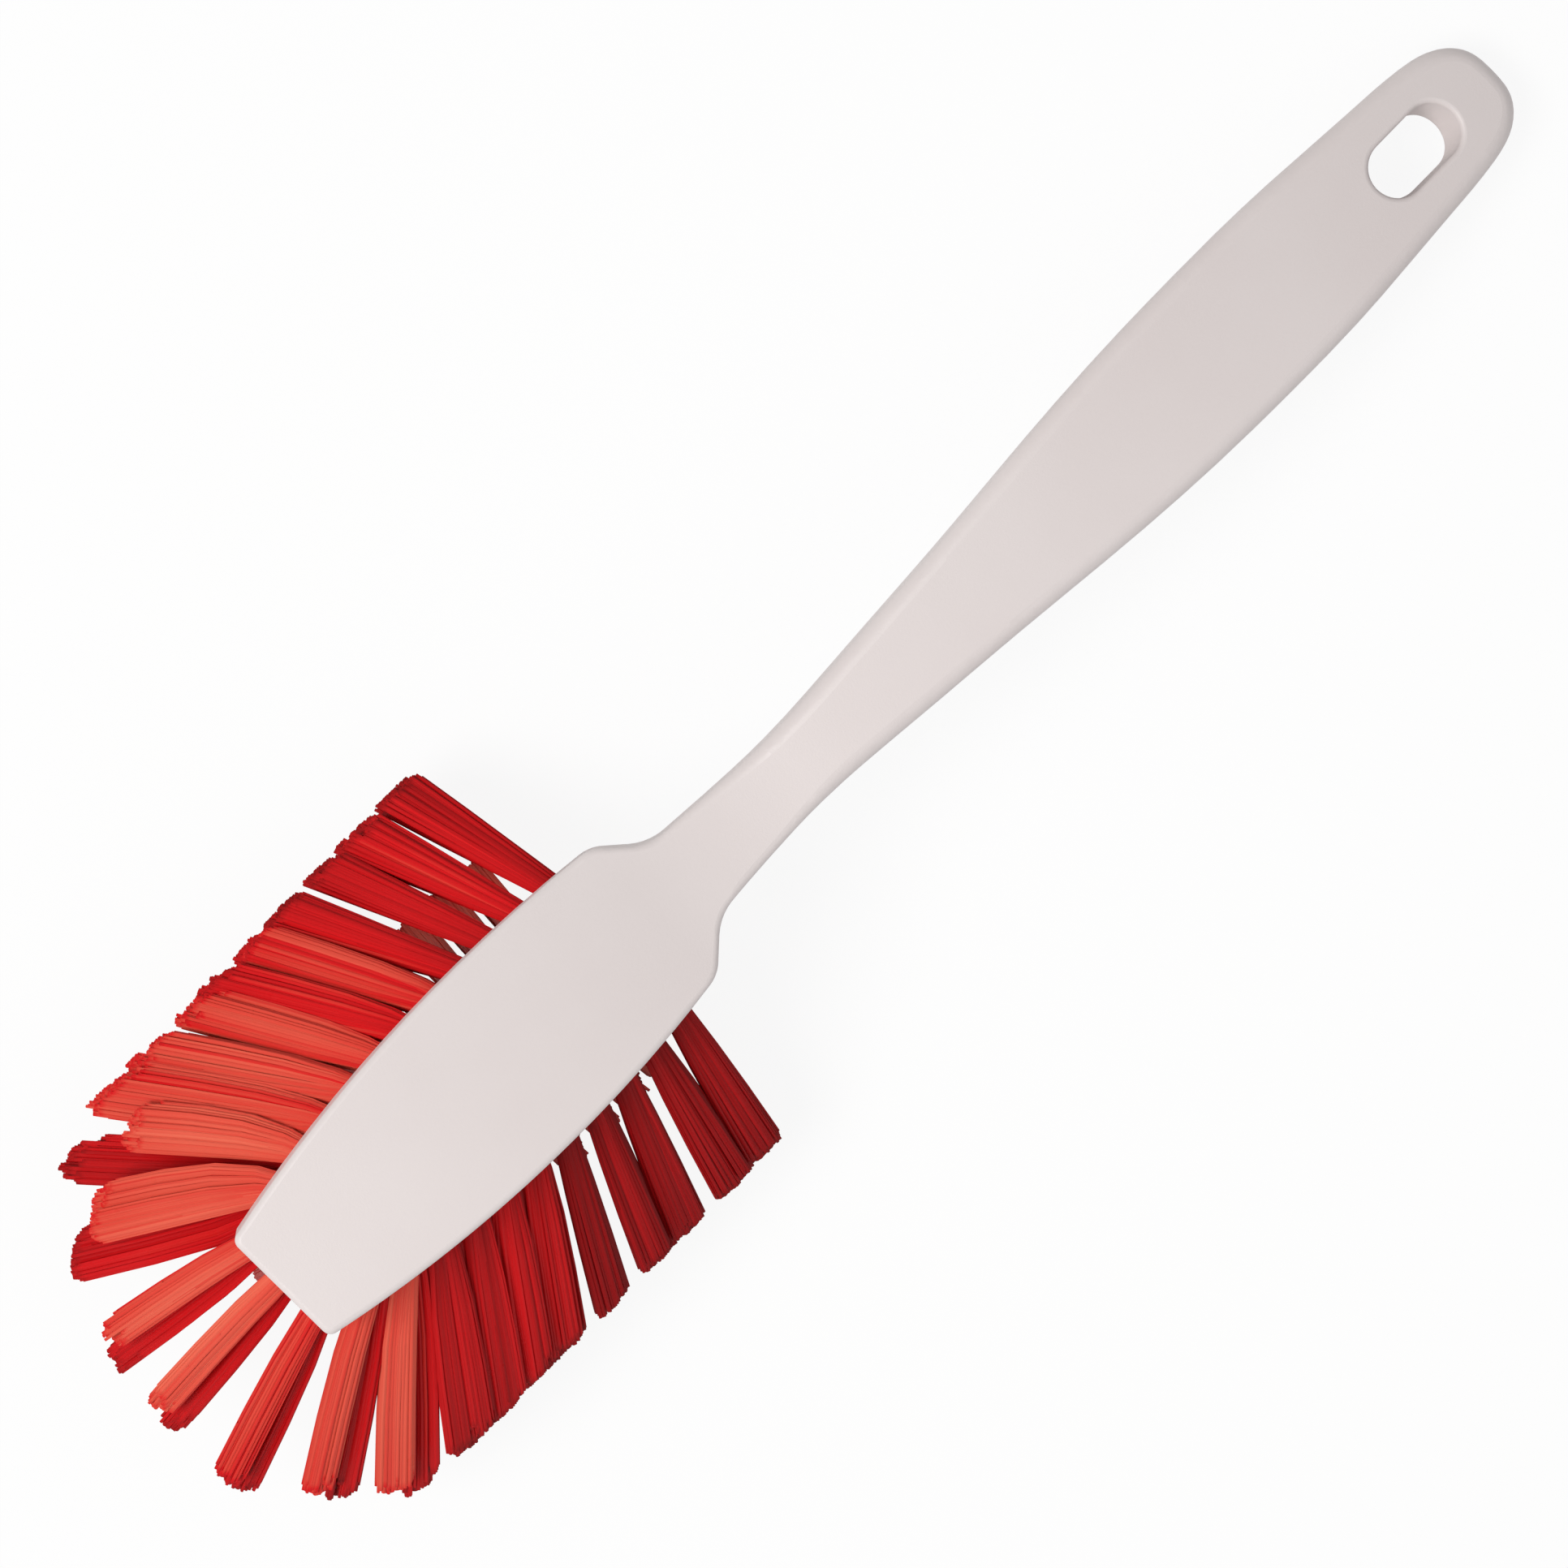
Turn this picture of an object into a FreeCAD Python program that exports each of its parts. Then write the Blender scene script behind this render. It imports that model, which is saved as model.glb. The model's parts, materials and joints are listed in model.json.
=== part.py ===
import FreeCAD, Part
import math
import os
from FreeCAD import Placement, Rotation, Vector

# Dish brush, in millimetres. It is drawn square to its head: x from the front of the head to the
# end of the handle, y across, z up from the bristles to the back. At the end the whole brush is
# laid down on its bristle tips and the end of its handle, with z = 0 as the table.

# Overall
BODY_LENGTH = 262.0
CUT_OVERRUN = 30.0

# Head, seen from above
HEAD_FRONT_WIDTH = 20.8
HEAD_WIDTH = 31.4
HEAD_SHOULDER_WIDTH = 27.6
HEAD_SHOULDER_FROM_FRONT = 80.6
HEAD_WIDEST_TO_SHOULDER = 32.6
HEAD_WIDEST_FROM_FRONT = HEAD_SHOULDER_FROM_FRONT - HEAD_WIDEST_TO_SHOULDER
SHOULDER_ANGLE = 42.5
FRONT_CORNER_RADIUS = 1.6
SHOULDER_RADIUS = 6.0
NECK_BLEND_RADIUS = 9.0

# Head, seen from the end
HEAD_THICKNESS = 14.0
HEAD_UNDERSIDE_RADIUS = 24.0

# Handle, seen from above
NECK_ROOT_FROM_SHOULDER = 1.4
NECK_ROOT_FROM_FRONT = HEAD_SHOULDER_FROM_FRONT + NECK_ROOT_FROM_SHOULDER
NECK_ROOT_WIDTH = 16.0
NECK_FROM_SHOULDER = 29.4
NECK_FROM_FRONT = HEAD_SHOULDER_FROM_FRONT + NECK_FROM_SHOULDER
NECK_WIDTH = 12.8
# The grip is widest at this share of the way from the neck to the end.
GRIP_PLACE_SHARE = 0.625
GRIP_FROM_FRONT = NECK_FROM_FRONT + GRIP_PLACE_SHARE * (BODY_LENGTH - NECK_FROM_FRONT)
GRIP_WIDTH = 25.0
# Along from the neck root to the neck, and width from the neck's to the root's.
NECK_ROOT_SHARES = ((0.5, 0.38),)
# Along from the neck to the widest grip, and width from the neck's to the grip's.
FLARE_SHARES = ((0.21, 0.19), (0.42, 0.44), (0.63, 0.74), (0.84, 0.95))
# Along from the widest grip to the end, and width as a share of the grip's.
TAIL_SHARES = ((0.30, 0.98), (0.614, 0.884), (0.825, 0.804), (0.935, 0.648), (0.988, 0.376))

# Side profile of the back: the head crowns, dips at the neck, and the handle arches
CROWN_FROM_FRONT = 18.0
HEAD_CROWN_RADIUS = 400.0
HEAD_FALL_ANGLE = 9.0
NECK_DIP_RADIUS = 90.0
GRIP_RISE_ANGLE = 10.0
GRIP_ARCH_RADIUS = 430.0

# Thickness of the handle below its back
NECK_THICKNESS = 9.0
GRIP_THICKNESS = 10.5
END_THICKNESS = 7.6

# Rounded edges
HEAD_EDGE_RADIUS = 1.0
GRIP_EDGE_RADIUS = 2.4
UNDER_EDGE_RADIUS = 1.0
SLOT_EDGE_RADIUS = 0.8

# Hanging slot; its wall towards the end of the handle leans back
SLOT_LENGTH = 14.6
SLOT_WIDTH = 9.2
SLOT_TO_END = 18.6
SLOT_END_LEAN = 20.0

# Rows of tufts
OUTER_COUNT_PER_SIDE = 11
OUTER_EDGE_MARGIN = 3.4
OUTER_REAR_TO_SHOULDER = 8.1
OUTER_REAR_FROM_FRONT = HEAD_SHOULDER_FROM_FRONT - OUTER_REAR_TO_SHOULDER
OUTER_LAST_FROM_FRONT = 11.5
FRONT_TUFT_MARGIN = 4.2
FRONT_TUFT_PITCH = 6.0
OUTER_LEAN = 52.0
MIDDLE_COUNT_PER_SIDE = 8
MIDDLE_MARGIN_SHARE = 0.305732
MIDDLE_EDGE_MARGIN = MIDDLE_MARGIN_SHARE * HEAD_WIDTH
MIDDLE_FRONT_FROM_FRONT = 11.5
MIDDLE_LEAN = 23.0
MIDDLE_FAN_ANGLE = 35.0
CENTRE_COUNT = 7

# Holes and anchor staples; the pitch of the outer row sets how wide they and the tufts can be
OUTER_PITCH = (OUTER_REAR_FROM_FRONT - OUTER_LAST_FROM_FRONT) / (OUTER_COUNT_PER_SIDE - 1)
HOLE_SHARE = 0.59
HOLE_DIAMETER = HOLE_SHARE * OUTER_PITCH
HOLE_DEPTH = 5.6
TUFT_HOLE_CLEARANCE = 0.1
STAPLE_BITE_SHARE = 0.074
STAPLE_BITE = STAPLE_BITE_SHARE * OUTER_PITCH
STAPLE_HEIGHT = 1.6
STAPLE_THICKNESS = 0.4
STAPLE_SEAT_CLEARANCE = 0.05
STAPLE_TURN = 20.0
FOLD_THICKNESS = 1.0

# Trim of the bristles: straight sides, an elliptical front and a level bottom
BRISTLE_SPAN = 81.0
BRISTLE_FRONT_REACH = 33.5
BRISTLE_ROUND_FROM_FRONT = 0.7
SIDE_TIPS_BEFORE_REAR = 7.0
SIDE_TIPS_FROM_FRONT = OUTER_REAR_FROM_FRONT - SIDE_TIPS_BEFORE_REAR
CENTRE_TUFT_LENGTH = 35.0
# Tips of the outer tufts, from the rear of a side to where the front begins to round.
LEFT_TIP_SHARES = (0.015, 0.155, 0.272, 0.405, 0.522, 0.642, 0.76, 0.895, 1.015)
RIGHT_TIP_SHARES = (0.005, 0.122, 0.255, 0.373, 0.52, 0.652, 0.77, 0.888, 1.006)
# Tips round the front, as a share of a quarter turn, and the middle one as a share of half the span.
LEFT_FAN_SHARES = (0.255, 0.56, 0.8)
RIGHT_FAN_SHARES = (0.25, 0.457, 0.709)
FRONT_TIP_SHARE = -0.12

# Size of one tuft outside its hole; the shares are of the outer row's pitch
FLARE_FROM_HOLE = 1.2
WAIST_FROM_HOLE = 6.0
WAIST_WIDTH_SHARE = 0.82
WAIST_DEPTH_SHARE = 0.72
OUTER_TIP_SHARE = 1.05
INNER_TIP_SHARE = 0.918
TIP_DEPTH_SHARE = 0.82
WAIST_WIDTH = WAIST_WIDTH_SHARE * OUTER_PITCH
WAIST_DEPTH = WAIST_DEPTH_SHARE * OUTER_PITCH
OUTER_TIP_WIDTH = OUTER_TIP_SHARE * OUTER_PITCH
INNER_TIP_WIDTH = INNER_TIP_SHARE * OUTER_PITCH
TIP_DEPTH = TIP_DEPTH_SHARE * OUTER_PITCH

# Fineness of the points used to lay the brush down, and how near an edge lies to the face it bounds
REST_MESH = 0.1
EDGE_TOLERANCE = 0.05


def circle_through(first, second, third):
    """Centre and radius of the circle through three points of the plane."""
    ax, ay = first
    bx, by = second
    cx, cy = third
    turn = 2 * (ax * (by - cy) + bx * (cy - ay) + cx * (ay - by))
    a_square = ax * ax + ay * ay
    b_square = bx * bx + by * by
    c_square = cx * cx + cy * cy
    centre_x = (a_square * (by - cy) + b_square * (cy - ay) + c_square * (ay - by)) / turn
    centre_y = (a_square * (cx - bx) + b_square * (ax - cx) + c_square * (bx - ax)) / turn
    return centre_x, centre_y, math.hypot(ax - centre_x, ay - centre_y)


HEAD_SIDE = circle_through(
    (0, HEAD_FRONT_WIDTH / 2),
    (HEAD_WIDEST_FROM_FRONT, HEAD_WIDTH / 2),
    (HEAD_SHOULDER_FROM_FRONT, HEAD_SHOULDER_WIDTH / 2),
)


def head_half_width(x):
    """Half the head's width at x, on the arc of its side."""
    centre_x, centre_y, radius = HEAD_SIDE
    return centre_y + math.sqrt(radius * radius - (x - centre_x) ** 2)


def back_joints():
    """Points where the three arcs of the back meet, as (x, z)."""
    fall = math.radians(HEAD_FALL_ANGLE)
    rise = math.radians(GRIP_RISE_ANGLE)
    dip_x = CROWN_FROM_FRONT + HEAD_CROWN_RADIUS * math.sin(fall)
    dip_z = -HEAD_CROWN_RADIUS * (1 - math.cos(fall))
    low_x = dip_x + NECK_DIP_RADIUS * math.sin(fall)
    low_z = dip_z - NECK_DIP_RADIUS * (1 - math.cos(fall))
    arch_x = low_x + NECK_DIP_RADIUS * math.sin(rise)
    arch_z = low_z + NECK_DIP_RADIUS * (1 - math.cos(rise))
    top_x = arch_x + GRIP_ARCH_RADIUS * math.sin(rise)
    top_z = arch_z + GRIP_ARCH_RADIUS * (1 - math.cos(rise))
    return (dip_x, dip_z), (low_x, low_z), (arch_x, arch_z), (top_x, top_z)


def back_height(x):
    """Height of the back at x."""
    dip, low, arch, top = back_joints()
    if x < dip[0]:
        return math.sqrt(HEAD_CROWN_RADIUS ** 2 - (x - CROWN_FROM_FRONT) ** 2) - HEAD_CROWN_RADIUS
    if x < arch[0]:
        return low[1] + NECK_DIP_RADIUS - math.sqrt(NECK_DIP_RADIUS ** 2 - (x - low[0]) ** 2)
    return top[1] - GRIP_ARCH_RADIUS + math.sqrt(GRIP_ARCH_RADIUS ** 2 - (x - top[0]) ** 2)


def prism(wire, start, height):
    """A solid from a closed wire, pushed along z from start."""
    face = Part.Face(wire)
    face.translate(Vector(0, 0, start))
    return face.extrude(Vector(0, 0, height))


def spline(points, joints):
    """A smooth curve through the points, as edges that meet at the points with these numbers."""
    curve = Part.BSplineCurve()
    curve.interpolate(points)
    places = [curve.FirstParameter]
    for number in joints:
        places.append(curve.parameter(points[number]))
    places.append(curve.LastParameter)
    return [curve.toShape(first, last) for first, last in zip(places, places[1:])]


def head_outline():
    """The head from above: straight front, bowed sides, and slanted shoulders that meet inside the neck."""
    shoulder = Vector(HEAD_SHOULDER_FROM_FRONT, HEAD_SHOULDER_WIDTH / 2, 0)
    widest = Vector(HEAD_WIDEST_FROM_FRONT, HEAD_WIDTH / 2, 0)
    front = Vector(0, HEAD_FRONT_WIDTH / 2, 0)
    rear_run = HEAD_SHOULDER_WIDTH / 2 / math.tan(math.radians(SHOULDER_ANGLE))
    rear = Vector(HEAD_SHOULDER_FROM_FRONT + rear_run, 0, 0)
    left = [front, widest, shoulder]
    right = [Vector(point.x, -point.y, 0) for point in left]
    edges = [
        Part.makeLine(right[0], left[0]),
        Part.Arc(*left).toShape(),
        Part.makeLine(left[2], rear),
        Part.makeLine(rear, right[2]),
        Part.Arc(right[2], right[1], right[0]).toShape(),
    ]
    return Part.Wire(edges)


def handle_side_points():
    """Half outline of the handle from above, from its root in the head to the end."""
    root_half = NECK_ROOT_WIDTH / 2
    neck_half = NECK_WIDTH / 2
    grip_half = GRIP_WIDTH / 2
    points = [(NECK_ROOT_FROM_FRONT, root_half)]
    for along, wide in NECK_ROOT_SHARES:
        x = NECK_ROOT_FROM_FRONT + along * (NECK_FROM_FRONT - NECK_ROOT_FROM_FRONT)
        points.append((x, neck_half + wide * (root_half - neck_half)))
    points.append((NECK_FROM_FRONT, neck_half))
    for along, wide in FLARE_SHARES:
        x = NECK_FROM_FRONT + along * (GRIP_FROM_FRONT - NECK_FROM_FRONT)
        points.append((x, neck_half + wide * (grip_half - neck_half)))
    points.append((GRIP_FROM_FRONT, grip_half))
    for along, wide in TAIL_SHARES:
        x = GRIP_FROM_FRONT + along * (BODY_LENGTH - GRIP_FROM_FRONT)
        points.append((x, wide * grip_half))
    return points


def handle_outline():
    """The handle from above: one smooth curve down a side, round the end and back."""
    side = handle_side_points()
    left = [Vector(x, y, 0) for x, y in side]
    right = [Vector(x, -y, 0) for x, y in reversed(side)]
    points = left + [Vector(BODY_LENGTH, 0, 0)] + right
    last = len(points) - 1
    flare = len(NECK_ROOT_SHARES) + 3
    grip = len(NECK_ROOT_SHARES) + len(FLARE_SHARES) + 2
    tail = grip + 3
    joints = (flare, grip, tail, last - tail, last - grip, last - flare)
    return Part.Wire(spline(points, joints) + [Part.makeLine(points[-1], points[0])])


def standing_edges(solid, low_x, high_x):
    """Edges of a prism that stand straight up between two places along the brush."""
    found = []
    for edge in solid.Edges:
        box = edge.BoundBox
        if box.ZLength > CUT_OVERRUN and box.XLength < EDGE_TOLERANCE:
            if low_x < box.Center.x < high_x and abs(box.Center.y) > NECK_WIDTH / 4:
                found.append(edge)
    return found


def plan_prism():
    """The whole outline from above, with rounded corners, taller than the brush."""
    low = -HEAD_THICKNESS - CUT_OVERRUN
    height = HEAD_THICKNESS + 2 * CUT_OVERRUN
    body = prism(head_outline(), low, height).fuse(prism(handle_outline(), low, height))
    front = HEAD_WIDEST_FROM_FRONT / 2
    shoulder_end = HEAD_SHOULDER_FROM_FRONT + FRONT_CORNER_RADIUS
    body = body.makeFillet(FRONT_CORNER_RADIUS, standing_edges(body, -front, front))
    body = body.makeFillet(NECK_BLEND_RADIUS, standing_edges(body, shoulder_end, NECK_FROM_FRONT))
    body = body.makeFillet(SHOULDER_RADIUS, standing_edges(body, front, shoulder_end))
    return body


def side_prism(edges, half_width):
    """A solid from a closed wire of the side view, pushed across the brush both ways."""
    face = Part.Face(Part.Wire(edges))
    face.translate(Vector(0, -half_width, 0))
    return face.extrude(Vector(0, 2 * half_width, 0))


def below_back():
    """Everything below the back of the head, neck and handle."""
    dip, low, arch, top = back_joints()
    front_x = -CUT_OVERRUN
    end_x = BODY_LENGTH + CUT_OVERRUN
    floor_z = -HEAD_THICKNESS - CUT_OVERRUN
    front = Vector(front_x, 0, back_height(front_x))
    end = Vector(end_x, 0, back_height(end_x))
    dip_point = Vector(dip[0], 0, dip[1])
    arch_point = Vector(arch[0], 0, arch[1])
    edges = [
        Part.Arc(front, Vector(CROWN_FROM_FRONT, 0, 0), dip_point).toShape(),
        Part.Arc(dip_point, Vector(low[0], 0, low[1]), arch_point).toShape(),
        Part.Arc(arch_point, Vector(top[0], 0, top[1]), end).toShape(),
        Part.makeLine(end, Vector(end_x, 0, floor_z)),
        Part.makeLine(Vector(end_x, 0, floor_z), Vector(front_x, 0, floor_z)),
        Part.makeLine(Vector(front_x, 0, floor_z), front),
    ]
    return side_prism(edges, HEAD_WIDTH)


def underside_path():
    """Centre line of the round that forms the underside: level under the head, then below the handle."""
    head_z = HEAD_UNDERSIDE_RADIUS - HEAD_THICKNESS
    head_stations = (-CUT_OVERRUN, CROWN_FROM_FRONT, HEAD_WIDEST_FROM_FRONT, HEAD_SHOULDER_FROM_FRONT)
    handle_stations = (
        (NECK_FROM_FRONT, NECK_THICKNESS),
        ((NECK_FROM_FRONT + GRIP_FROM_FRONT) / 2, (NECK_THICKNESS + GRIP_THICKNESS) / 2),
        (GRIP_FROM_FRONT, GRIP_THICKNESS),
        (BODY_LENGTH, END_THICKNESS),
        (BODY_LENGTH + CUT_OVERRUN, END_THICKNESS),
    )
    points = [Vector(x, 0, head_z) for x in head_stations]
    for x, thick in handle_stations:
        points.append(Vector(x, 0, back_height(x) - thick + HEAD_UNDERSIDE_RADIUS))
    return Part.Wire(spline(points, (2, 4, 5, 6)))


def above_underside():
    """Everything above the rounded underside of the head and handle."""
    path = underside_path()
    edge = path.Edges[0]
    start = edge.valueAt(edge.FirstParameter)
    heading = edge.tangentAt(edge.FirstParameter)
    ring = Part.Wire([Part.makeCircle(HEAD_UNDERSIDE_RADIUS, start, heading)])
    return path.makePipeShell([ring], True, False)


def is_on_back(edge):
    """Whether an edge bounds the back: it lies on it and does not cross it."""
    box = edge.BoundBox
    points = edge.discretize(Number=5)
    on_back = all(abs(point.z - back_height(point.x)) < EDGE_TOLERANCE for point in points)
    crosses = box.XLength < EDGE_TOLERANCE and box.Center.x > FRONT_CORNER_RADIUS
    return on_back and not crosses


def is_below(edge):
    """Whether an edge bounds the underside: neither upright nor across."""
    box = edge.BoundBox
    upright = max(box.XLength, box.YLength) < UNDER_EDGE_RADIUS / 2
    across = box.XLength < UNDER_EDGE_RADIUS and box.Center.x > FRONT_CORNER_RADIUS
    end = box.XMax > BODY_LENGTH - UNDER_EDGE_RADIUS
    return not upright and (end or not across)


def back_edge_radius(x):
    """Radius of the back's edge: small on the head, larger on the handle."""
    run = (x - HEAD_SHOULDER_FROM_FRONT) / (NECK_FROM_FRONT - HEAD_SHOULDER_FROM_FRONT)
    run = min(1.0, max(0.0, run))
    return HEAD_EDGE_RADIUS + (GRIP_EDGE_RADIUS - HEAD_EDGE_RADIUS) * run * run * (3 - 2 * run)


def rounded(body):
    """The body with its back and underside edges rounded."""
    rows = []
    for number, edge in enumerate(body.Edges, start=1):
        if is_on_back(edge):
            first = edge.valueAt(edge.FirstParameter).x
            last = edge.valueAt(edge.LastParameter).x
            rows.append((number, back_edge_radius(first), back_edge_radius(last)))
        elif is_below(edge):
            rows.append((number, UNDER_EDGE_RADIUS, UNDER_EDGE_RADIUS))
    document = FreeCAD.newDocument("rounding")
    base = document.addObject("Part::Feature", "sharp")
    base.Shape = body
    fillet = document.addObject("Part::Fillet", "rounded")
    fillet.Base = base
    fillet.Edges = rows
    document.recompute()
    shape = fillet.Shape.copy()
    FreeCAD.closeDocument(document.Name)
    return shape


def slot_wire(z, shift):
    """The hanging slot's outline at one height, its end arc moved along by shift."""
    radius = SLOT_WIDTH / 2
    centre = BODY_LENGTH - SLOT_TO_END
    inner = centre - SLOT_LENGTH / 2 + radius
    outer = centre + SLOT_LENGTH / 2 - radius + shift
    corners = [
        Vector(inner, radius, z),
        Vector(inner, -radius, z),
        Vector(outer, -radius, z),
        Vector(outer, radius, z),
    ]
    edges = [
        Part.Arc(corners[0], Vector(inner - radius, 0, z), corners[1]).toShape(),
        Part.makeLine(corners[1], corners[2]),
        Part.Arc(corners[2], Vector(outer + radius, 0, z), corners[3]).toShape(),
        Part.makeLine(corners[3], corners[0]),
    ]
    return Part.Wire(edges)


def slot_cutter():
    """The space of the hanging slot, longer at the back than at the underside."""
    lean = math.tan(math.radians(SLOT_END_LEAN))
    back_z = back_height(BODY_LENGTH - SLOT_TO_END)
    under_z = back_z - END_THICKNESS
    over = END_THICKNESS / 2
    low = slot_wire(under_z - over, -over * lean)
    high = slot_wire(back_z + over, (END_THICKNESS + over) * lean)
    return Part.makeLoft([low, high], True, True)


def slot_edges(body):
    """Edges round both mouths of the hanging slot."""
    centre = BODY_LENGTH - SLOT_TO_END
    half_width = (SLOT_WIDTH + SLOT_EDGE_RADIUS) / 2
    found = []
    for edge in body.Edges:
        box = edge.BoundBox
        near = abs(box.Center.x - centre) < SLOT_LENGTH and max(-box.YMin, box.YMax) < half_width
        across = box.XLength < EDGE_TOLERANCE and abs(box.Center.y) < EDGE_TOLERANCE
        if near and box.ZLength < END_THICKNESS / 2 and not across:
            found.append(edge)
    return found


def moulding():
    """The head and handle in one piece, without the tuft holes."""
    body = plan_prism().common(below_back()).common(above_underside()).Solids[0]
    body = rounded(body).cut(slot_cutter()).Solids[0]
    return body.makeFillet(SLOT_EDGE_RADIUS, slot_edges(body)).Solids[0]


def underside_height(y):
    """Height of the head's underside at y."""
    return HEAD_UNDERSIDE_RADIUS - HEAD_THICKNESS - math.sqrt(HEAD_UNDERSIDE_RADIUS ** 2 - y * y)


def outer_roots():
    """Holes of one side's outer row: evenly down the side from the rear, then one on the front."""
    centre_x, centre_y, radius = HEAD_SIDE
    radius = radius - OUTER_EDGE_MARGIN
    rear = math.asin((OUTER_REAR_FROM_FRONT - centre_x) / radius)
    last = math.asin((OUTER_LAST_FROM_FRONT - centre_x) / radius)
    roots = []
    for step in range(OUTER_COUNT_PER_SIDE):
        turn = rear + (last - rear) * step / (OUTER_COUNT_PER_SIDE - 1)
        roots.append((centre_x + radius * math.sin(turn), centre_y + radius * math.cos(turn)))
    return roots + [(FRONT_TUFT_MARGIN, FRONT_TUFT_PITCH)]


def outer_tips(side_shares, fan_shares):
    """Tips of one side's outer row, from the rear to the last before the middle of the front."""
    half = BRISTLE_SPAN / 2
    depth = BRISTLE_FRONT_REACH + BRISTLE_ROUND_FROM_FRONT
    side_run = SIDE_TIPS_FROM_FRONT - BRISTLE_ROUND_FROM_FRONT
    tips = [(SIDE_TIPS_FROM_FRONT - share * side_run, half) for share in side_shares]
    for share in fan_shares:
        turn = share * math.pi / 2
        tips.append((BRISTLE_ROUND_FROM_FRONT - depth * math.sin(turn), half * math.cos(turn)))
    return tips


def tuft(root, heading, length, tip_width):
    """One tuft's place: the middle of its hole's mouth, its direction, its free length and its spread."""
    return {"root": root, "heading": heading, "length": length, "tip_width": tip_width}


def outer_tuft(root_x, root_y, tip_x, tip_y):
    """A tuft of the outer row, which leans out until it reaches the trimmed edge."""
    lean = math.radians(OUTER_LEAN)
    run = math.hypot(tip_x - root_x, tip_y - root_y)
    heading = Vector(
        math.sin(lean) * (tip_x - root_x) / run,
        math.sin(lean) * (tip_y - root_y) / run,
        -math.cos(lean),
    )
    root = Vector(root_x, root_y, underside_height(root_y))
    return tuft(root, heading, run / math.sin(lean), OUTER_TIP_WIDTH)


def outer_row():
    """The outer tufts: up the left side, across the front and down the right side."""
    roots = outer_roots()
    left = outer_tips(LEFT_TIP_SHARES, LEFT_FAN_SHARES)
    right = outer_tips(RIGHT_TIP_SHARES, RIGHT_FAN_SHARES)
    row = [outer_tuft(x, y, *tip) for (x, y), tip in zip(roots, left)]
    row.append(outer_tuft(FRONT_TUFT_MARGIN, 0, -BRISTLE_FRONT_REACH, FRONT_TIP_SHARE * BRISTLE_SPAN / 2))
    for (x, y), (tip_x, tip_y) in reversed(list(zip(roots, right))):
        row.append(outer_tuft(x, -y, tip_x, -tip_y))
    return row


def middle_tuft(x, y, fan, side):
    """A tuft of the middle row, trimmed level with the centre row; fan turns it to the front."""
    lean = math.radians(MIDDLE_LEAN)
    heading = Vector(
        -math.sin(lean) * math.sin(fan),
        side * math.sin(lean) * math.cos(fan),
        -math.cos(lean),
    )
    root_z = underside_height(y)
    drop = root_z + HEAD_THICKNESS + CENTRE_TUFT_LENGTH
    return tuft(Vector(x, side * y, root_z), heading, drop / math.cos(lean), INNER_TIP_WIDTH)


def middle_row():
    """The middle tufts, each between two outer ones from the second on, and one at the front."""
    roots = outer_roots()
    places = []
    for step in range(MIDDLE_COUNT_PER_SIDE):
        x = (roots[step + 1][0] + roots[step + 2][0]) / 2
        fan = math.radians(MIDDLE_FAN_ANGLE) * (step / (MIDDLE_COUNT_PER_SIDE - 1)) ** 2
        places.append((x, head_half_width(x) - MIDDLE_EDGE_MARGIN, fan))
    row = [middle_tuft(x, y, fan, 1) for x, y, fan in places]
    row.append(middle_tuft(MIDDLE_FRONT_FROM_FRONT, 0, math.pi / 2, 1))
    for x, y, fan in reversed(places):
        row.append(middle_tuft(x, y, fan, -1))
    return row


def centre_row():
    """The upright tufts down the middle, level with the outer ones along the head."""
    roots = outer_roots()
    row = []
    for step in range(CENTRE_COUNT):
        root = Vector(roots[step + 1][0], 0, -HEAD_THICKNESS)
        row.append(tuft(root, Vector(0, 0, -1), CENTRE_TUFT_LENGTH, INNER_TIP_WIDTH))
    return row


def seated(shape, place):
    """A shape drawn round its hole's axis, z out of the hole, moved to a tuft's place."""
    heading = place["heading"]
    across = Vector(-heading.y, heading.x, 0)
    if across.Length < math.sin(math.radians(STAPLE_TURN)):
        across = Vector(1, 0, 0)
    turn = Rotation(across, heading.cross(across), heading, "ZXY")
    moved = shape.copy()
    moved.Placement = Placement(place["root"], turn).multiply(shape.Placement)
    return moved


def hole_cutter():
    """The drilled hole of one tuft, run out past its mouth."""
    start = Vector(0, 0, -HOLE_DEPTH)
    return Part.makeCylinder(HOLE_DIAMETER / 2, 2 * HOLE_DEPTH, start, Vector(0, 0, 1))


def staple_plate(clearance):
    """The flat wire across a tuft's fold, its ends in the wall of the hole, grown by a clearance."""
    length = HOLE_DIAMETER + 2 * STAPLE_BITE + 2 * clearance
    width = STAPLE_THICKNESS + 2 * clearance
    height = STAPLE_HEIGHT + 2 * clearance
    start_z = FOLD_THICKNESS - HOLE_DEPTH + TUFT_HOLE_CLEARANCE - clearance
    plate = Part.makeBox(length, width, height, Vector(-length / 2, -width / 2, start_z))
    plate.rotate(Vector(0, 0, 0), Vector(0, 0, 1), STAPLE_TURN)
    return plate


def oval(width, depth, z):
    """An oval outline of a tuft, its width across the heading."""
    if width == depth:
        return Part.Wire([Part.makeCircle(width / 2, Vector(0, 0, z))])
    curve = Part.Ellipse(Vector(0, 0, z), width / 2, depth / 2)
    return Part.Wire([curve.toShape()])


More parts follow.
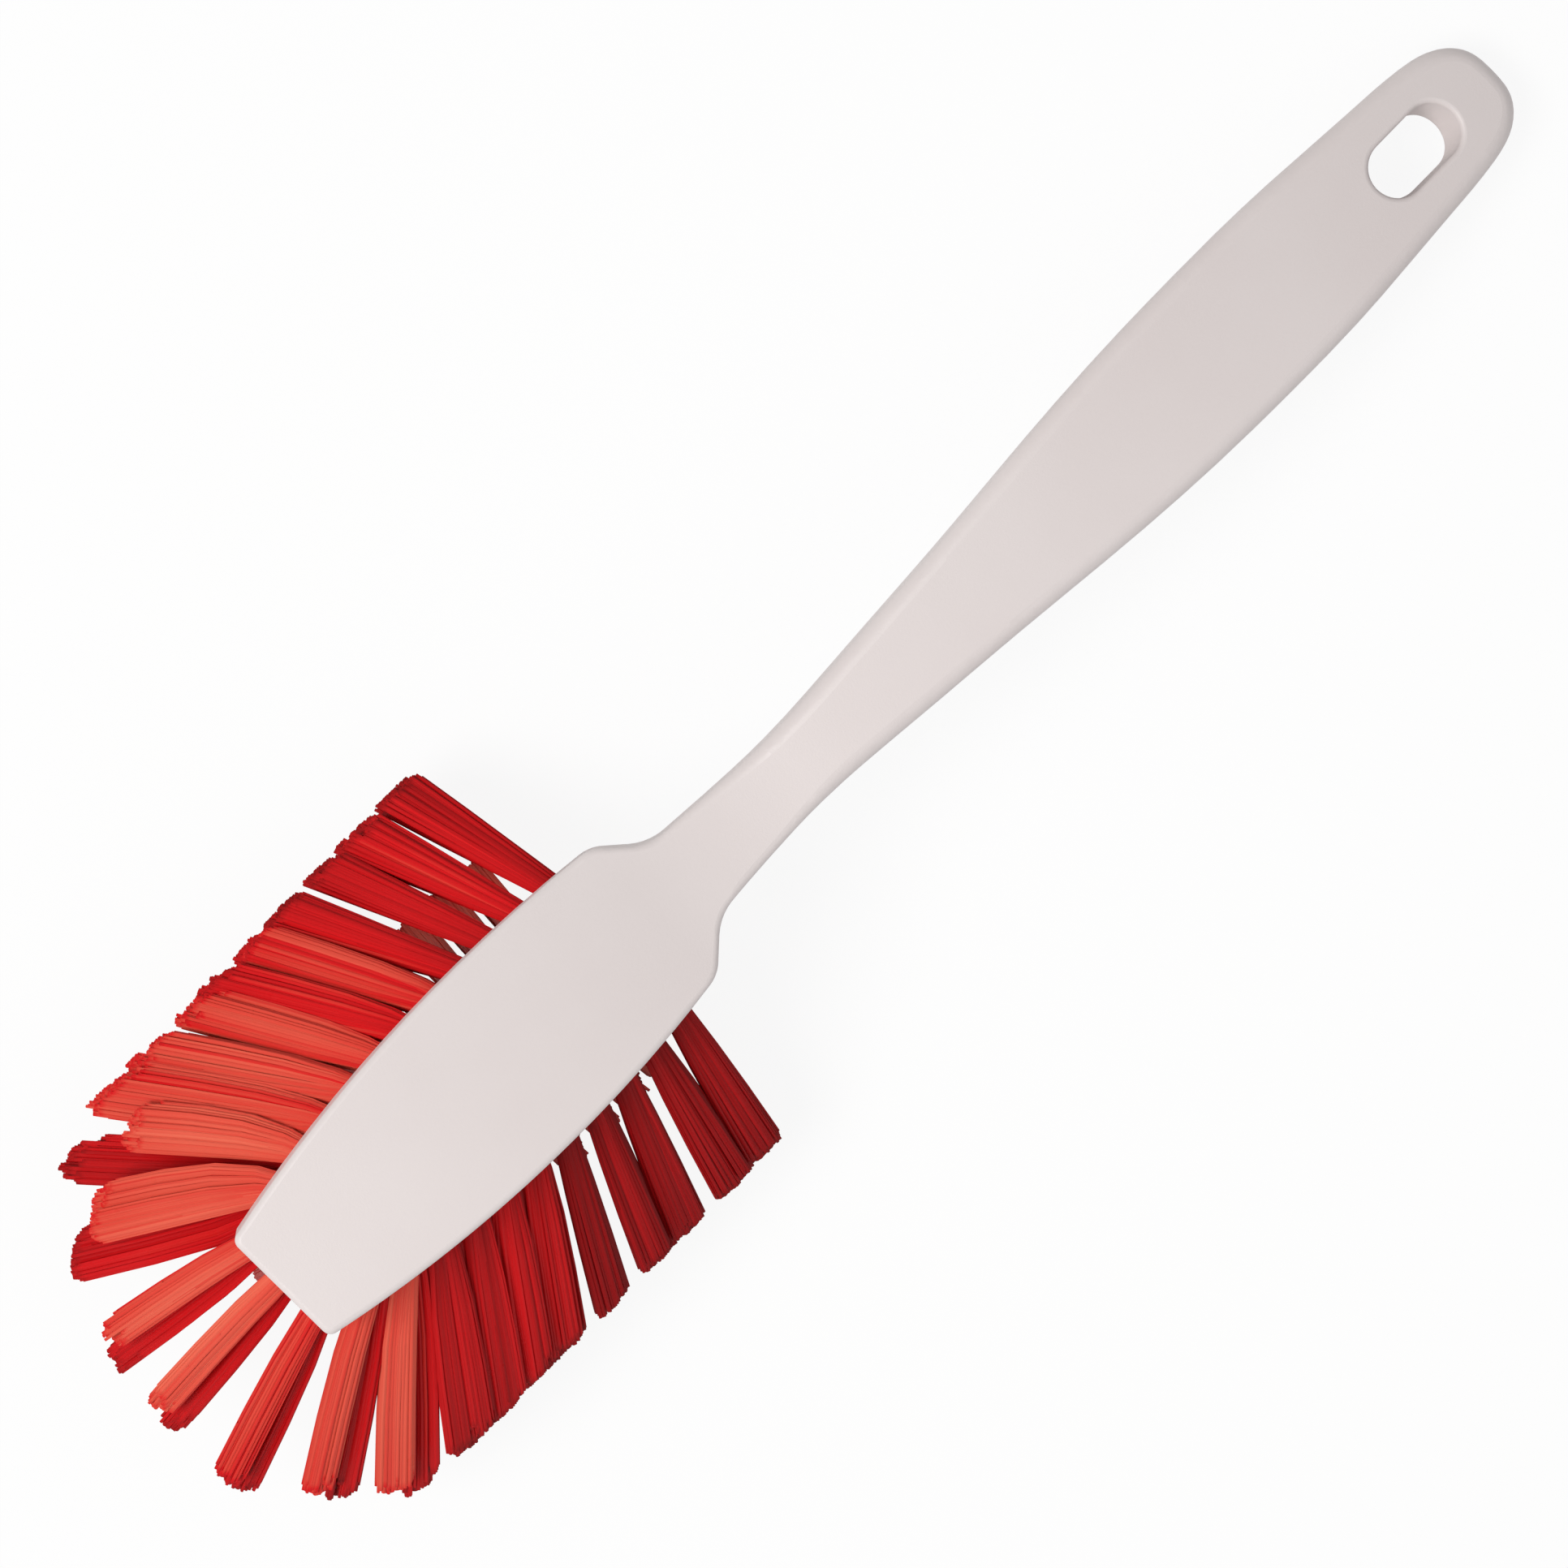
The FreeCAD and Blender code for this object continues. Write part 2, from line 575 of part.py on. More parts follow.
def tuft_solid(length, tip_width):
    """A tuft drawn round its hole's axis: a tight root that opens out to the trimmed tip."""
    root = HOLE_DIAMETER - 2 * TUFT_HOLE_CLEARANCE
    sections = [
        oval(root, root, TUFT_HOLE_CLEARANCE - HOLE_DEPTH),
        oval(root, root, FLARE_FROM_HOLE),
        oval(WAIST_WIDTH, WAIST_DEPTH, WAIST_FROM_HOLE),
        oval(tip_width, TIP_DEPTH, length),
    ]
    return Part.makeLoft(sections, True, True).cut(staple_plate(STAPLE_SEAT_CLEARANCE)).Solids[0]


def brush():
    """All pieces of the brush by name, drawn square to the head."""
    rows = {"outer": outer_row(), "middle": middle_row(), "centre": centre_row()}
    every = [place for row in rows.values() for place in row]
    cutters = [seated(hole_cutter(), place) for place in every]
    cutters += [seated(staple_plate(STAPLE_SEAT_CLEARANCE), place) for place in every]
    pieces = {"handle": moulding().cut(cutters).Solids[0]}
    for name, row in rows.items():
        for number, place in enumerate(row, start=1):
            solid = tuft_solid(place["length"], place["tip_width"])
            pieces["tuft_%s_%02d" % (name, number)] = seated(solid, place)
        staples = [seated(staple_plate(0), place) for place in row]
        pieces["staples_" + name] = Part.makeCompound(staples)
    return pieces


def lowest(points, turn):
    """Lowest height of the points once turned about y."""
    return min(point.z * math.cos(turn) - point.x * math.sin(turn) for point in points)


def rest_turn(pieces):
    """Angle about y that brings the bristle tips and the end of the handle to one level."""
    handle = pieces["handle"].tessellate(REST_MESH)[0]
    tips = []
    for name, shape in pieces.items():
        if name.startswith("tuft"):
            tips += shape.tessellate(REST_MESH)[0]
    low = 0.0
    high = math.pi / 4
    while high - low > 1e-6:
        middle = (low + high) / 2
        if lowest(handle, middle) > lowest(tips, middle):
            low = middle
        else:
            high = middle
    return low


def lay_down(pieces):
    """The pieces at rest on the table, with the origin below the middle of the whole."""
    turn = rest_turn(pieces)
    tilt = Placement(Vector(0, 0, 0), Rotation(Vector(0, 1, 0), math.degrees(turn)))
    whole = FreeCAD.BoundBox()
    for shape in pieces.values():
        shape.Placement = tilt.multiply(shape.Placement)
        whole.add(shape.optimalBoundingBox(False, False))
    shift = Vector(-whole.Center.x, 0, -whole.ZMin)
    for shape in pieces.values():
        shape.translate(shift)
    print("laid down by %.2f degrees, moved by" % math.degrees(turn), shift)
    print("overall %.2f x %.2f x %.2f" % (whole.XLength, whole.YLength, whole.ZLength))
    return pieces


def main():
    os.makedirs("parts", exist_ok=True)
    for name, shape in lay_down(brush()).items():
        shape.exportStep("parts/%s.step" % name)


main()
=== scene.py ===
"""Dish brush: a one-piece white moulding set with forty-nine tufts of red filament.

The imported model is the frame. The moulding and the anchor staples keep their own solids and get
finished materials; every tuft is replaced by strands of filament, worked out as whole arrays.

Places are drawn in the brush's own axes, in millimetres: x from the front of the head to the end
of the handle, y across, z up from the bristles to the back. RestPose carries them to the row's
frame.
"""

import json
import logging
import math
from dataclasses import dataclass, field, replace
from enum import Enum

import bpy
import numpy as np
from mathutils import Matrix, Vector

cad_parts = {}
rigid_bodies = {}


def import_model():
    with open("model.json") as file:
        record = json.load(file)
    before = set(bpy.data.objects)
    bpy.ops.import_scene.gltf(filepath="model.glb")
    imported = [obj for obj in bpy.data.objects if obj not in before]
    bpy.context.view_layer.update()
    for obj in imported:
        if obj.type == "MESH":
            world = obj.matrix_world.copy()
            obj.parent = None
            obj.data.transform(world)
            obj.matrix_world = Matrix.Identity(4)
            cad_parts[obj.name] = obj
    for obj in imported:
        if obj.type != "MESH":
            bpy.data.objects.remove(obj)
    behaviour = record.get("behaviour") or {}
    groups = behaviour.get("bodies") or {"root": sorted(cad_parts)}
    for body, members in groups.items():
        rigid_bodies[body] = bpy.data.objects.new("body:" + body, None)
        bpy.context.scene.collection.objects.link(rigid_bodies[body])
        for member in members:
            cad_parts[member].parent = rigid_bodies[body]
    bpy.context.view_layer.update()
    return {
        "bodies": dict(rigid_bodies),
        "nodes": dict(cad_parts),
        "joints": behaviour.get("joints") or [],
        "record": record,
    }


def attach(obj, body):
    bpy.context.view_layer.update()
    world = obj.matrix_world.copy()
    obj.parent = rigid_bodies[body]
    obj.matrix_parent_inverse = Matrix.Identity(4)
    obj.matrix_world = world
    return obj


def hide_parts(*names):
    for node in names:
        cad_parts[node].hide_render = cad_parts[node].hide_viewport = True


LOG = logging.getLogger("dish_brush")
Array = np.ndarray
Colour = tuple[float, float, float]
Point2 = tuple[float, float]
Point3 = tuple[float, float, float]
Material = bpy.types.Material
Node = bpy.types.Node
Piece = bpy.types.Object
Socket = bpy.types.NodeSocket

MM_PER_METRE = 1000.0
WHITE = (1.0, 1.0, 1.0, 1.0)
# The part of 0 to 1 that the values of a noise texture really cover.
NOISE_START = 0.3
NOISE_END = 0.7
# A heading with less level part than this counts as upright.
LEVEL_SHARE = 0.3
# Turn from one strand to the next on a sunflower spiral.
GOLDEN_TURN = math.pi * (3.0 - math.sqrt(5.0))


class Row(Enum):
    """The three kinds of tuft, by where they stand on the head."""

    OUTER = "outer"
    MIDDLE = "middle"
    CENTRE = "centre"


class Slot(Enum):
    """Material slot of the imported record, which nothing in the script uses."""

    FILAMENT = "red_filament"


@dataclass(frozen=True)
class RestPose:
    """How the brush lies on the table, as the solids were laid down.

    Attributes:
        turn: Turn about y, in degrees, that brings bristle tips and handle end to one level.
        shift: Move after the turn, in millimetres.
    """

    turn: float = 10.69
    shift: Point3 = (-106.9778, 0.0, 60.988)

    def direction(self, vectors: Array) -> Array:
        """Turns directions from the brush's axes to the row's.

        Args:
            vectors: Directions, last axis x, y, z.

        Returns:
            The turned directions.
        """
        angle = math.radians(self.turn)
        cos, sin = math.cos(angle), math.sin(angle)
        turned = np.empty_like(vectors)
        turned[..., 0] = vectors[..., 0] * cos + vectors[..., 2] * sin
        turned[..., 1] = vectors[..., 1]
        turned[..., 2] = vectors[..., 2] * cos - vectors[..., 0] * sin
        return turned

    def place(self, points: Array) -> Array:
        """Carries points from the brush's axes in millimetres to the row frame in metres.

        Args:
            points: Points, last axis x, y, z.

        Returns:
            The points at rest on the table, in metres.
        """
        return (self.direction(points) + np.array(self.shift)) / MM_PER_METRE


REST = RestPose()


def unit(vectors: Array) -> Array:
    """Scales vectors to length one along their last axis."""
    return vectors / np.linalg.norm(vectors, axis=-1, keepdims=True)


class NodeBoard:
    """A small helper that lays shader nodes in rows and links them."""

    PITCH = (220, 260)
    ROW_LENGTH = 6

    def __init__(self, tree: bpy.types.NodeTree) -> None:
        """Keeps the tree that nodes are added to."""
        self.tree = tree
        self.count = 0

    @classmethod
    def blank(cls, owner: bpy.types.ID) -> "NodeBoard":
        """Empties the node tree of a material or a world.

        Args:
            owner: The material or world.

        Returns:
            A board on the empty tree.
        """
        owner.use_nodes = True
        owner.node_tree.nodes.clear()
        return cls(owner.node_tree)

    def add(self, kind: str, **values: object) -> Node:
        """Adds a node, sets its properties and its input sockets.

        Args:
            kind: The node's type name.
            **values: Properties by name, or input sockets by name with _ for a space.

        Returns:
            The new node.
        """
        node = self.tree.nodes.new(kind)
        row, column = divmod(self.count, self.ROW_LENGTH)
        node.location = (self.PITCH[0] * column, -self.PITCH[1] * row)
        self.count += 1
        for name, value in values.items():
            if hasattr(node, name) and name not in node.inputs:
                setattr(node, name, value)
            else:
                node.inputs[name.replace("_", " ")].default_value = value
        return node

    def link(self, source: Socket, target: Socket) -> None:
        """Joins an output socket to an input socket."""
        self.tree.links.new(source, target)

    def ranged(self, noise: Socket, low: float, high: float) -> Socket:
        """Spreads a noise over a range.

        Args:
            noise: The noise.
            low: Result where the noise starts.
            high: Result where the noise ends.

        Returns:
            The ranged value's socket.
        """
        node = self.add(
            "ShaderNodeMapRange",
            From_Min=NOISE_START,
            From_Max=NOISE_END,
            To_Min=low,
            To_Max=high,
        )
        self.link(noise, node.inputs["Value"])
        return node.outputs["Result"]

    def mixed(self, factor: Socket, low: Colour, high: Colour) -> Socket:
        """Blends two colours by a value that changes over the surface.

        Args:
            factor: 0 for the first colour, 1 for the second.
            low: First colour, linear.
            high: Second colour, linear.

        Returns:
            The blended colour's socket.
        """
        node = self.add("ShaderNodeMix", data_type="RGBA")
        colours = [socket for socket in node.inputs if socket.type == "RGBA"]
        colours[0].default_value = (*low, 1.0)
        colours[1].default_value = (*high, 1.0)
        self.link(factor, node.inputs["Factor"])
        return [socket for socket in node.outputs if socket.type == "RGBA"][0]

    def blended(self, first: Socket, second: Socket) -> Node:
        """Blends two shaders.

        Args:
            first: The shader at Fac 0.
            second: The shader at Fac 1.

        Returns:
            The blending node.
        """
        node = self.add("ShaderNodeMixShader")
        self.link(first, node.inputs[1])
        self.link(second, node.inputs[2])
        return node


class SurfaceGroups:
    """Shared surface effects, each a node group made once."""

    def __init__(self) -> None:
        """Makes the groups."""
        self.mottle = self._mottle()

    @staticmethod
    def _mottle() -> bpy.types.NodeTree:
        """Cloudy tone and fine grain from Object coordinates.

        Returns:
            A group with inputs Cloud Scale and Grain Scale and outputs Cloud and Grain, both
            noises within 0 to 1.
        """
        tree = bpy.data.node_groups.new("surface_mottle", "ShaderNodeTree")
        for name in ("Cloud", "Grain"):
            for side, socket in (("INPUT", name + " Scale"), ("OUTPUT", name)):
                tree.interface.new_socket(socket, in_out=side, socket_type="NodeSocketFloat")
        board = NodeBoard(tree)
        entry = board.add("NodeGroupInput")
        leave = board.add("NodeGroupOutput")
        place = board.add("ShaderNodeTexCoord")
        cloud = board.add("ShaderNodeTexNoise", Detail=3.0, Roughness=0.55)
        grain = board.add("ShaderNodeTexNoise", Detail=2.0, Roughness=0.6)
        for node, name in ((cloud, "Cloud"), (grain, "Grain")):
            board.link(place.outputs["Object"], node.inputs["Vector"])
            board.link(entry.outputs[name + " Scale"], node.inputs["Scale"])
            board.link(node.outputs["Fac"], leave.inputs[name])
        return tree


@dataclass
class Draft:
    """A material in the making.

    Attributes:
        material: The material.
        board: Lays nodes on its tree.
        out: Its output.
        shader: Its Principled shader, linked to the output.
        mottle: Its cloud and grain.
    """

    material: Material
    board: NodeBoard
    out: Node
    shader: Node
    mottle: Node

    def set_input(self, name: str, value: float) -> None:
        """Sets an input of the shader."""
        self.shader.inputs[name].default_value = value


@dataclass(frozen=True)
class Finish:
    """What every finish has: a name, and a mottle that drives its roughness and bump.

    Attributes:
        name: The material's name.
        cloud_scale: Clouds per metre.
        grain_scale: Grains per metre.
        rough_by: Output of the mottle that the roughness follows.
        roughness: Lowest and highest roughness.
        bump_strength: Strength of the grain's bump.
        bump_depth: Depth of the grain's bump, in metres.
    """

    name: str
    cloud_scale: float
    grain_scale: float
    rough_by: str
    roughness: Point2
    bump_strength: float
    bump_depth: float

    def start(self, groups: SurfaceGroups) -> Draft:
        """Begins the material: a shader with mottled roughness and a bump of fine grain.

        Args:
            groups: The shared effects.

        Returns:
            The draft, which still needs its colour.
        """
        material = bpy.data.materials.new(self.name)
        board = NodeBoard.blank(material)
        out = board.add("ShaderNodeOutputMaterial")
        shader = board.add("ShaderNodeBsdfPrincipled")
        board.link(shader.outputs["BSDF"], out.inputs["Surface"])
        mottle = board.add("ShaderNodeGroup", node_tree=groups.mottle)
        mottle.inputs["Cloud Scale"].default_value = self.cloud_scale
        mottle.inputs["Grain Scale"].default_value = self.grain_scale
        rough = board.ranged(mottle.outputs[self.rough_by], *self.roughness)
        board.link(rough, shader.inputs["Roughness"])
        bump = board.add("ShaderNodeBump", Strength=self.bump_strength, Distance=self.bump_depth)
        board.link(mottle.outputs["Grain"], bump.inputs["Height"])
        board.link(bump.outputs["Normal"], shader.inputs["Normal"])
        return Draft(material, board, out, shader, mottle)

    @staticmethod
    def cloud_colour(draft: Draft, low: Colour, high: Colour) -> None:
        """Colours a draft in two tones that follow its cloud.

        Args:
            draft: The draft.
            low: Colour where the cloud is thin.
            high: Colour where the cloud is thick.
        """
        tone = draft.board.ranged(draft.mottle.outputs["Cloud"], 0.0, 1.0)
        colour = draft.board.mixed(tone, low, high)
        draft.board.link(colour, draft.shader.inputs["Base Color"])


@dataclass(frozen=True)
class SatinPolypropylene(Finish):
    """White moulded plastic: a warm grey white with a faint cloud, fine grain and soft gloss.

    Attributes:
        pale: The lighter tone.
        deep: The darker, pinker tone.
        ior: Refractive index.
        gloss: Level of the mirrored light.
    """

    name: str = "satin_polypropylene"
    cloud_scale: float = 26.0
    grain_scale: float = 2600.0
    rough_by: str = "Cloud"
    roughness: Point2 = (0.36, 0.46)
    bump_strength: float = 0.12
    bump_depth: float = 0.0002
    pale: Colour = (0.752, 0.690, 0.680)
    deep: Colour = (0.720, 0.653, 0.643)
    ior: float = 1.49
    gloss: float = 0.42

    def make(self, groups: SurfaceGroups) -> Material:
        """Builds the material.

        Args:
            groups: The shared effects.

        Returns:
            The material.
        """
        draft = self.start(groups)
        self.cloud_colour(draft, self.pale, self.deep)
        draft.set_input("IOR", self.ior)
        draft.set_input("Specular IOR Level", self.gloss)
        return draft.material


@dataclass(frozen=True)
class GlossFilament(Finish):
    """Red polyester filament: strands of many tones, softly glossy, that pass a little light; the
    tones also carry painted light and shade.

    Attributes:
        deep: Colour of the darkest strands, used for painted shade.
        plain: Colour half way.
        bright: Colour of the lightest strands, orange with painted sheen for the lit strands.
        clearness: Share of the light that passes through a strand.
        ior: Refractive index.
        gloss: Level of the mirrored light.
    """

    name: str = "gloss_filament"
    cloud_scale: float = 90.0
    grain_scale: float = 1800.0
    rough_by: str = "Cloud"
    roughness: Point2 = (0.26, 0.40)
    bump_strength: float = 0.15
    bump_depth: float = 0.0001
    deep: Colour = (0.29, 0.003, 0.004)
    plain: Colour = (0.73, 0.009, 0.012)
    bright: Colour = (0.88, 0.160, 0.096)
    clearness: float = 0.1
    ior: float = 1.57
    gloss: float = 0.12

    def make(self, groups: SurfaceGroups) -> Material:
        """Builds the material.

        Args:
            groups: The shared effects.

        Returns:
            The material.
        """
        draft = self.start(groups)
        board = draft.board
        # The strand tone runs from painted shade (deep) through the filament's own red (plain) to
        # painted light and sheen (bright).
        tone = board.add("ShaderNodeAttribute", attribute_name="strand_tone")
        ramp = board.add("ShaderNodeValToRGB")
        stops = ramp.color_ramp.elements
        stops.new(0.5)
        for stop, tint in zip(stops, (self.deep, self.plain, self.bright)):
            stop.color = (*tint, 1.0)
        board.link(tone.outputs["Fac"], ramp.inputs["Fac"])
        through = board.add("ShaderNodeBsdfTranslucent")
        for target in (draft.shader.inputs["Base Color"], through.inputs["Color"]):
            board.link(ramp.outputs["Color"], target)
        draft.set_input("IOR", self.ior)
        draft.set_input("Specular IOR Level", self.gloss)
        blend = board.blended(draft.shader.outputs["BSDF"], through.outputs["BSDF"])
        blend.inputs["Fac"].default_value = self.clearness
        board.link(blend.outputs["Shader"], draft.out.inputs["Surface"])
        return draft.material


@dataclass(frozen=True)
class DrawnWire(Finish):
    """Flat drawn steel wire of the anchor staples.

    Attributes:
        pale: Tone of the bright drawn streaks.
        deep: Tone between the streaks.
    """

    name: str = "drawn_wire"
    cloud_scale: float = 700.0
    grain_scale: float = 6000.0
    rough_by: str = "Grain"
    roughness: Point2 = (0.25, 0.42)
    bump_strength: float = 0.2
    bump_depth: float = 0.0001
    pale: Colour = (0.62, 0.61, 0.59)
    deep: Colour = (0.42, 0.41, 0.40)

    def make(self, groups: SurfaceGroups) -> Material:
        """Builds the material.

        Args:
            groups: The shared effects.

        Returns:
            The material.
        """
        draft = self.start(groups)
        self.cloud_colour(draft, self.deep, self.pale)
        draft.set_input("Metallic", 1.0)
        return draft.material


@dataclass(frozen=True)
class Lie:
    """How the strands of a tuft lie.

    Attributes:
        ragged: Unevenness of the cut, as a share of the length.
        rounding: Share of the length that the outermost strands fall short.
        tone: Tone of the lower leg, 0 for the deepest red and 1 for the brightest; set by where
            the tuft stands, it is painted light on lit tufts and painted shade on shaded ones.
        split: How far each leg of the fold lies to its own side at the tip, in millimetres.
        lift: How far each leg lies above or below the middle at the tip, in millimetres.
        flare: How early the bundle spreads, near 0 for evenly all the way to the tip.
        short: Share of the length that the upper leg falls short.
        contrast: How much lighter the upper leg is painted than the lower one: painted light on
            the upper leg and painted shade on the lower leg, which lies in its shadow.
    """

    ragged: float
    rounding: float
    tone: float
    split: float = 0.3
    lift: float = 0.4
    flare: float = 3.6
    short: float = 0.012
    contrast: float = 0.05


# Painted light and shade: lighter tones for the lit tufts at the front left (FULL, PALE), the
# deepest for the shaded right side (DEEP, MILD), and a lifted tone for the middle and centre tufts
# (INNER), which lie in the outer tufts' shadow.
TIGHT = Lie(ragged=0.014, rounding=0.016, tone=0.36, flare=0.5)
DEEP = replace(TIGHT, tone=0.02, flare=1.2)
MILD = Lie(ragged=0.018, rounding=0.03, tone=0.24)
INNER = Lie(ragged=0.010, rounding=0.03, tone=0.70, short=0.010)
FULL = Lie(ragged=0.015, rounding=0.05, tone=0.56, lift=0.5, flare=5.0, contrast=0.04)
PALE = replace(FULL, ragged=0.016, rounding=0.06, tone=0.70, short=0.016)
PARTED = Lie(
    ragged=0.024, rounding=0.04, tone=0.38, split=1.9, lift=0.9, short=0.055, contrast=0.44
)
RUDDY = replace(PARTED, tone=0.36, split=1.5, short=0.035, contrast=0.16)
WIDE = replace(PARTED, rounding=0.06, tone=0.40, split=3.0, lift=1.0, flare=5.4, short=0.085)
SHORT = replace(WIDE, short=0.16)


@dataclass
class Tuft:
    """One tuft: a bundle folded over its staple, fanned from its hole to the trimmed tip.

    Attributes:
        row: Which row it stands in.
        number: Its number in the row.
        root: Middle of the hole's mouth, brush axes, millimetres.
        tip: Middle of the trimmed end.
        trim: Unit normal of the plane that cuts the end.
        width: Spread at the tip, level across the tuft.
        depth: Spread at the tip the other way.
        lie: How its strands lie.
    """

    row: Row
    number: int
    root: Array
    tip: Array
    trim: Array
    width: float
    depth: float
    lie: Lie

    @property
    def node(self) -> str:
        """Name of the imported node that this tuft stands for."""
        return f"tuft_{self.row.value}_{self.number:02d}"

    @property
    def heading(self) -> Array:
        """Unit direction from the root to the tip."""
        return unit(self.tip - self.root)

    def axes(self) -> tuple[Array, Array]:
        """Two directions square to the heading: level across, and up through its depth."""
        heading = self.heading
        across = np.array([-heading[1], heading[0], 0.0])
        if np.linalg.norm(across) < LEVEL_SHARE:
            across = np.array([1.0, 0.0, 0.0])
        across = unit(across)
        return across, np.cross(heading, across)


@dataclass(frozen=True)
class SideTrim:
    """How the outer tufts of one side end, from the rear to the front.

    Attributes:
        side: 1 for the left, -1 for the right.
        tips: Tips along the straight part, x.
        span: Reach of the straight part, y at its rear and at its front.
        fan: Tips round the corner to the front, x and y.
        widths: Width of a leg at each tip.
        lies: How the strands of each tuft lie, with tones that paint the light or shade that falls
            on each tuft.
    """

    side: float
    tips: tuple[float, ...]
    span: Point2
    fan: tuple[Point2, ...]
    widths: tuple[float, ...]
    lies: tuple[Lie, ...]

    def ends(self) -> list[tuple[Array, Array]]:
        """Where the tufts end, mirrored to the left.

        Returns:
            A tuft's tip and the direction that its cut faces, x and y of each.
        """
        reach = np.linspace(*self.span, len(self.tips))
        ends = [(np.array(tip), np.array([0.0, 1.0])) for tip in zip(self.tips, reach)]
        return ends + [(np.array(tip), np.array(tip)) for tip in self.fan]


LEFT = SideTrim(
    side=1.0,
    tips=(64.6, 55.4, 48.0, 38.8, 31.8, 23.0, 17.6, 7.4, -0.7),
    span=(40.3, 39.0),
    fan=((-9.8, 36.2), (-21.5, 26.0), (-30.8, 9.6)),
    widths=(7.8, 7.8, 6.6, 6.6, 6.9, 6.5, 6.1, 7.6, 8.2, 8.0, 8.8, 4.8),
    lies=(TIGHT,) * 4 + (FULL,) * 2 + (PALE,) * 3 + (SHORT, WIDE, PARTED),
)
RIGHT = SideTrim(
    side=-1.0,
    tips=(65.1, 58.4, 47.9, 41.3, 31.0, 20.2, 13.6, 6.9, -0.2),
    span=(42.2, 42.5),
    fan=((-14.4, 41.6), (-23.6, 32.8), (-32.8, 20.0)),
    widths=(6.4, 7.0, 6.2, 5.6, 5.3, 6.5, 7.2, 7.2, 8.4, 5.6, 4.4, 4.6),
    lies=(DEEP,) * 5 + (MILD,) * 4 + (PARTED, PARTED, RUDDY),
)


@dataclass
class BristleField:
    """All tufts of the brush and the trim that ends them.

    Holes repeat the solids' own places, in millimetres; the tips are spread as the photographed
    brush carries them, a little shorter on the left than on the right.

    Attributes:
        head_front_half: Half width of the head's front edge.
        head_half: Half width of the head at its widest.
        head_widest: Where the head is widest, from its front.
        shoulder_half: Half width of the head at its shoulder.
        shoulder: Where the shoulder is, from the front.
        head_thickness: Thickness of the head along its middle.
        underside_radius: Radius of the rounded underside.
        outer_count: Outer tufts down one side.
        outer_margin: Outer holes from the head's edge.
        outer_rear: Rearmost outer hole, from the front.
        outer_last: Foremost outer hole of a side, from the front.
        front_margin: Front holes from the front edge.
        front_pitch: Front holes apart.
        outer_lean: Lean of the outer tufts from the upright, in degrees.
        middle_count: Middle tufts down one side.
        middle_margin: Middle holes from the head's edge.
        middle_front: Front hole of the middle row, from the front.
        middle_lean: Lean of the middle tufts, in degrees.
        middle_fan: How far the foremost middle tufts turn to the front, in degrees.
        centre_count: Upright tufts.
        centre_length: Free length of the upright tufts.
        left: Ends of the outer tufts on the left.
        right: Ends of the outer tufts on the right.
        front_tip: Tip of the middle front tuft, x and y.
        front_width: Width of a leg of the middle front tuft.
        tip_depth: Tip depth of every tuft.
        inner_width: Tip width of middle and centre tufts.
        tufts: The tufts, once laid out.
    """

    head_front_half: float = 10.4
    head_half: float = 15.7
    head_widest: float = 48.0
    shoulder_half: float = 13.8
    shoulder: float = 80.6
    head_thickness: float = 14.0
    underside_radius: float = 24.0
    outer_count: int = 11
    outer_margin: float = 3.4
    outer_rear: float = 72.5
    outer_last: float = 11.5
    front_margin: float = 4.2
    front_pitch: float = 6.0
    outer_lean: float = 52.0
    middle_count: int = 8
    middle_margin: float = 9.6
    middle_front: float = 11.5
    middle_lean: float = 23.0
    middle_fan: float = 35.0
    centre_count: int = 7
    centre_length: float = 35.0
    left: SideTrim = LEFT
    right: SideTrim = RIGHT
    front_tip: Point2 = (-32.9, -4.4)
    front_width: float = 4.3
    tip_depth: float = 4.4
    inner_width: float = 4.6
    tufts: list[Tuft] = field(default_factory=list)

    def side_circle(self) -> tuple[float, float, float]:
        """Circle of the head's side, through its front, widest and shoulder points.

        Returns:
            Centre x, centre y and radius, from the three equations of equal distance.
        """
        points = np.array([
            (0.0, self.head_front_half),
            (self.head_widest, self.head_half),
            (self.shoulder, self.shoulder_half),
        ])
        sides = 2.0 * (points[1:] - points[0])
        squares = (points[1:] ** 2).sum(axis=1) - (points[0] ** 2).sum()
        centre = np.linalg.solve(sides, squares)
        return centre[0], centre[1], float(np.linalg.norm(points[0] - centre))

    def underside(self, y: float) -> float:
        """Height of the head's underside at y: an arc of the underside radius."""
        radius = self.underside_radius
        return radius - self.head_thickness - math.sqrt(radius**2 - y * y)

    def outer_roots(self) -> Array:
        """Holes of one side's outer row, evenly round the arc from the rear, then one in front.

        Returns:
            One x, y pair a hole.
        """
        centre_x, centre_y, radius = self.side_circle()
        radius -= self.outer_margin
        ends = np.arcsin((np.array([self.outer_rear, self.outer_last]) - centre_x) / radius)
        turn = np.linspace(ends[0], ends[1], self.outer_count)
        x = centre_x + radius * np.sin(turn)
        y = centre_y + radius * np.cos(turn)
        return np.vstack([np.stack([x, y], axis=1), (self.front_margin, self.front_pitch)])

    def lay_out(self) -> None:
        """Works out every tuft's place, in the order that the nodes are numbered."""
        self.tufts.clear()
        self._lay_out_outer()
        self._lay_out_middle()
        self._lay_out_centre()

    def _add(self, row: Row, root: Array, tip: Array, trim: Array, width: float, lie: Lie) -> None:
        """Adds a tuft under the next number of its row.

        Args:
            row: Its row.
            root: Middle of its hole's mouth.
            tip: Middle of its end.
            trim: Direction that the cut faces.
            width: Spread at the tip.
            lie: How its strands lie.
        """
        number = sum(tuft.row is row for tuft in self.tufts) + 1
        self.tufts.append(Tuft(row, number, root, tip, unit(trim), width, self.tip_depth, lie))

